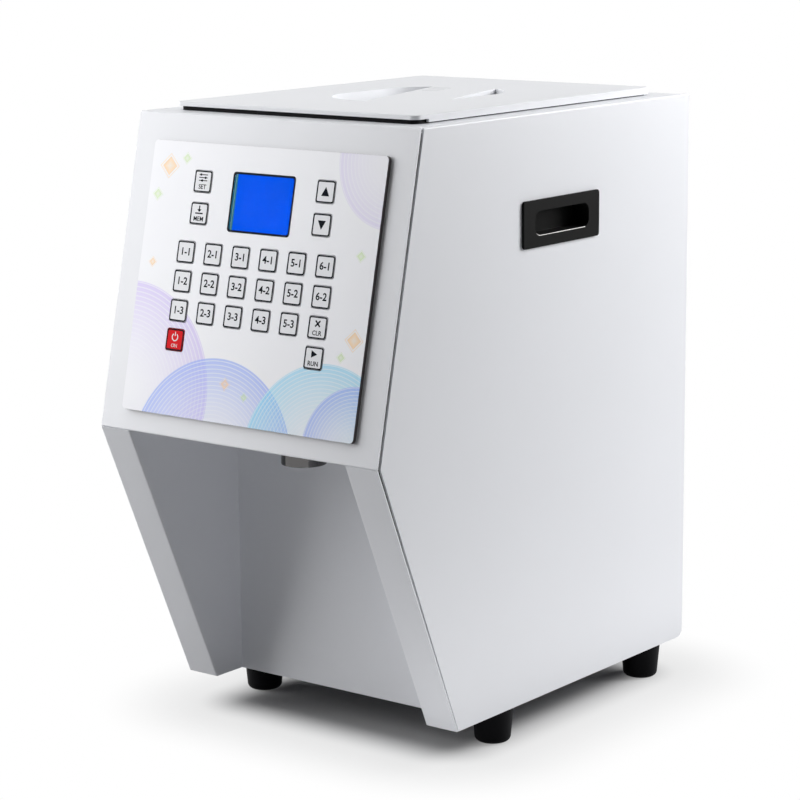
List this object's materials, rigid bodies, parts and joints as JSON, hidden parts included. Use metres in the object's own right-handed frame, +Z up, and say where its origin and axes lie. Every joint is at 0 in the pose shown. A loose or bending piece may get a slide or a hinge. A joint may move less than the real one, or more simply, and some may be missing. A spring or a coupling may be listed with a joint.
{
  "type": "powder dispenser",
  "caption": "Countertop powder dispenser: sheet cabinet with a sloping key panel, lift-off lid, hopper with geared auger and agitator, outlet nozzle and open cup bay.",
  "frame": {"origin": "on the counter, under the middle of the dispenser's box", "axes": "+Z up, the key panel faces -Y, +X towards the machine's left as it faces its user, which is the right-hand side in a front view"},
  "size_m": [0.249, 0.378, 0.448],
  "materials": {
    "white_steel": "satin white powder coat",
    "steel": "brushed stainless",
    "dark_steel": "polished stainless ring, dark under the nose",
    "screws": "zinc plated",
    "rubber": "black moulded rubber",
    "black_plastic": "black moulded plastic",
    "overlay": "printed white panel, gloss",
    "window": "clear window",
    "screen": "lit blue display",
    "board": "green circuit board",
    "brass": "turned brass",
    "switch_plastic": "black moulded plastic",
    "white_plastic": "white moulded plastic",
    "gear_plastic": "moulded acetal",
    "motor": "plated motor can",
    "supply_case": "perforated case, stated light because it is hollow",
    "red_plastic": "red plastic",
    "lead": "sheathed leads",
    "key_plastic": "white key caps"
  },
  "bodies": {
    "cabinet": {"side_panel_left": "white_steel", "side_panel_right": "white_steel", "rear_panel": "white_steel", "front_fascia": "white_steel", "cup_bay_liner": "white_steel", "base_plate": "white_steel", "top_frame": "steel", "hopper": "steel", "outlet_tube": "steel", "gear_plate": "steel", "outlet_nozzle": "dark_steel", "foot_screws": "screws", "housing_screws": "screws", "rubber_feet": "rubber", "carry_handle_left": "black_plastic", "carry_handle_right": "black_plastic", "power_entry": "black_plastic", "panel_overlay": "overlay", "display_window": "window", "display_module": "screen", "control_board": "board", "board_standoffs": "brass", "shaft_bushes": "brass", "tact_switches": "switch_plastic", "gear_motor": "motor", "power_supply": "supply_case", "wiring": "lead"},
    "lid": {"lid": "white_plastic", "lid_gasket": "rubber"},
    "auger": {"auger_shaft": "steel", "auger_flight": "steel", "auger_gear": "gear_plastic"},
    "agitator": {"agitator": "steel", "agitator_gear": "gear_plastic"},
    "motor_rotor": {"motor_pinion": "brass"},
    "rocker": {"power_rocker": "red_plastic"},
    "key_power": {"key_power": "red_plastic"},
    "key_run": {"key_run": "key_plastic"},
    "key_clear": {"key_clear": "key_plastic"},
    "key_set": {"key_set": "key_plastic"},
    "key_store": {"key_store": "key_plastic"},
    "key_up": {"key_up": "key_plastic"},
    "key_down": {"key_down": "key_plastic"},
    "key_1_1": {"key_1_1": "key_plastic"},
    "key_2_1": {"key_2_1": "key_plastic"},
    "key_3_1": {"key_3_1": "key_plastic"},
    "key_4_1": {"key_4_1": "key_plastic"},
    "key_5_1": {"key_5_1": "key_plastic"},
    "key_6_1": {"key_6_1": "key_plastic"},
    "key_1_2": {"key_1_2": "key_plastic"},
    "key_2_2": {"key_2_2": "key_plastic"},
    "key_3_2": {"key_3_2": "key_plastic"},
    "key_4_2": {"key_4_2": "key_plastic"},
    "key_5_2": {"key_5_2": "key_plastic"},
    "key_6_2": {"key_6_2": "key_plastic"},
    "key_1_3": {"key_1_3": "key_plastic"},
    "key_2_3": {"key_2_3": "key_plastic"},
    "key_3_3": {"key_3_3": "key_plastic"},
    "key_4_3": {"key_4_3": "key_plastic"},
    "key_5_3": {"key_5_3": "key_plastic"}
  },
  "joints": [
    {"name": "lid_lift", "type": "slide", "parent": "cabinet", "child": "lid", "axis": [0, 0, 1], "range_m": [0, 0.2]},
    {"name": "auger_turn", "type": "hinge", "parent": "cabinet", "child": "auger", "pos_m": [0, 0, 0.261], "axis": [0, 1, 0], "continuous": true},
    {"name": "agitator_turn", "type": "hinge", "parent": "cabinet", "child": "agitator", "pos_m": [0, 0, 0.336], "axis": [0, 1, 0], "continuous": true},
    {"name": "motor_turn", "type": "hinge", "parent": "cabinet", "child": "motor_rotor", "pos_m": [0, 0, 0.21], "axis": [0, 1, 0], "continuous": true},
    {"name": "rocker_tilt", "type": "hinge", "parent": "cabinet", "child": "rocker", "pos_m": [0.058, 0.182, 0.086], "axis": [-1, 0, 0], "range_deg": [0, 20]},
    {"name": "key_power_press", "type": "slide", "parent": "cabinet", "child": "key_power", "axis": [0, 0.9754, -0.2203], "range_m": [0, 0.0006], "stiffness_N_per_m": 300, "springref_m": -0.0006},
    {"name": "key_run_press", "type": "slide", "parent": "cabinet", "child": "key_run", "axis": [0, 0.9754, -0.2203], "range_m": [0, 0.0006], "stiffness_N_per_m": 300, "springref_m": -0.0006},
    {"name": "key_clear_press", "type": "slide", "parent": "cabinet", "child": "key_clear", "axis": [0, 0.9754, -0.2203], "range_m": [0, 0.0006], "stiffness_N_per_m": 300, "springref_m": -0.0006},
    {"name": "key_set_press", "type": "slide", "parent": "cabinet", "child": "key_set", "axis": [0, 0.9754, -0.2203], "range_m": [0, 0.0006], "stiffness_N_per_m": 300, "springref_m": -0.0006},
    {"name": "key_store_press", "type": "slide", "parent": "cabinet", "child": "key_store", "axis": [0, 0.9754, -0.2203], "range_m": [0, 0.0006], "stiffness_N_per_m": 300, "springref_m": -0.0006},
    {"name": "key_up_press", "type": "slide", "parent": "cabinet", "child": "key_up", "axis": [0, 0.9754, -0.2203], "range_m": [0, 0.0006], "stiffness_N_per_m": 300, "springref_m": -0.0006},
    {"name": "key_down_press", "type": "slide", "parent": "cabinet", "child": "key_down", "axis": [0, 0.9754, -0.2203], "range_m": [0, 0.0006], "stiffness_N_per_m": 300, "springref_m": -0.0006},
    {"name": "key_1_1_press", "type": "slide", "parent": "cabinet", "child": "key_1_1", "axis": [0, 0.9754, -0.2203], "range_m": [0, 0.0006], "stiffness_N_per_m": 300, "springref_m": -0.0006},
    {"name": "key_2_1_press", "type": "slide", "parent": "cabinet", "child": "key_2_1", "axis": [0, 0.9754, -0.2203], "range_m": [0, 0.0006], "stiffness_N_per_m": 300, "springref_m": -0.0006},
    {"name": "key_3_1_press", "type": "slide", "parent": "cabinet", "child": "key_3_1", "axis": [0, 0.9754, -0.2203], "range_m": [0, 0.0006], "stiffness_N_per_m": 300, "springref_m": -0.0006},
    {"name": "key_4_1_press", "type": "slide", "parent": "cabinet", "child": "key_4_1", "axis": [0, 0.9754, -0.2203], "range_m": [0, 0.0006], "stiffness_N_per_m": 300, "springref_m": -0.0006},
    {"name": "key_5_1_press", "type": "slide", "parent": "cabinet", "child": "key_5_1", "axis": [0, 0.9754, -0.2203], "range_m": [0, 0.0006], "stiffness_N_per_m": 300, "springref_m": -0.0006},
    {"name": "key_6_1_press", "type": "slide", "parent": "cabinet", "child": "key_6_1", "axis": [0, 0.9754, -0.2203], "range_m": [0, 0.0006], "stiffness_N_per_m": 300, "springref_m": -0.0006},
    {"name": "key_1_2_press", "type": "slide", "parent": "cabinet", "child": "key_1_2", "axis": [0, 0.9754, -0.2203], "range_m": [0, 0.0006], "stiffness_N_per_m": 300, "springref_m": -0.0006},
    {"name": "key_2_2_press", "type": "slide", "parent": "cabinet", "child": "key_2_2", "axis": [0, 0.9754, -0.2203], "range_m": [0, 0.0006], "stiffness_N_per_m": 300, "springref_m": -0.0006},
    {"name": "key_3_2_press", "type": "slide", "parent": "cabinet", "child": "key_3_2", "axis": [0, 0.9754, -0.2203], "range_m": [0, 0.0006], "stiffness_N_per_m": 300, "springref_m": -0.0006},
    {"name": "key_4_2_press", "type": "slide", "parent": "cabinet", "child": "key_4_2", "axis": [0, 0.9754, -0.2203], "range_m": [0, 0.0006], "stiffness_N_per_m": 300, "springref_m": -0.0006},
    {"name": "key_5_2_press", "type": "slide", "parent": "cabinet", "child": "key_5_2", "axis": [0, 0.9754, -0.2203], "range_m": [0, 0.0006], "stiffness_N_per_m": 300, "springref_m": -0.0006},
    {"name": "key_6_2_press", "type": "slide", "parent": "cabinet", "child": "key_6_2", "axis": [0, 0.9754, -0.2203], "range_m": [0, 0.0006], "stiffness_N_per_m": 300, "springref_m": -0.0006},
    {"name": "key_1_3_press", "type": "slide", "parent": "cabinet", "child": "key_1_3", "axis": [0, 0.9754, -0.2203], "range_m": [0, 0.0006], "stiffness_N_per_m": 300, "springref_m": -0.0006},
    {"name": "key_2_3_press", "type": "slide", "parent": "cabinet", "child": "key_2_3", "axis": [0, 0.9754, -0.2203], "range_m": [0, 0.0006], "stiffness_N_per_m": 300, "springref_m": -0.0006},
    {"name": "key_3_3_press", "type": "slide", "parent": "cabinet", "child": "key_3_3", "axis": [0, 0.9754, -0.2203], "range_m": [0, 0.0006], "stiffness_N_per_m": 300, "springref_m": -0.0006},
    {"name": "key_4_3_press", "type": "slide", "parent": "cabinet", "child": "key_4_3", "axis": [0, 0.9754, -0.2203], "range_m": [0, 0.0006], "stiffness_N_per_m": 300, "springref_m": -0.0006},
    {"name": "key_5_3_press", "type": "slide", "parent": "cabinet", "child": "key_5_3", "axis": [0, 0.9754, -0.2203], "range_m": [0, 0.0006], "stiffness_N_per_m": 300, "springref_m": -0.0006}
  ],
  "couplings": [
    {"joint": "agitator_turn", "follows": "auger_turn", "ratio": -0.66667},
    {"joint": "motor_turn", "follows": "auger_turn", "ratio": -1.4286}
  ]
}
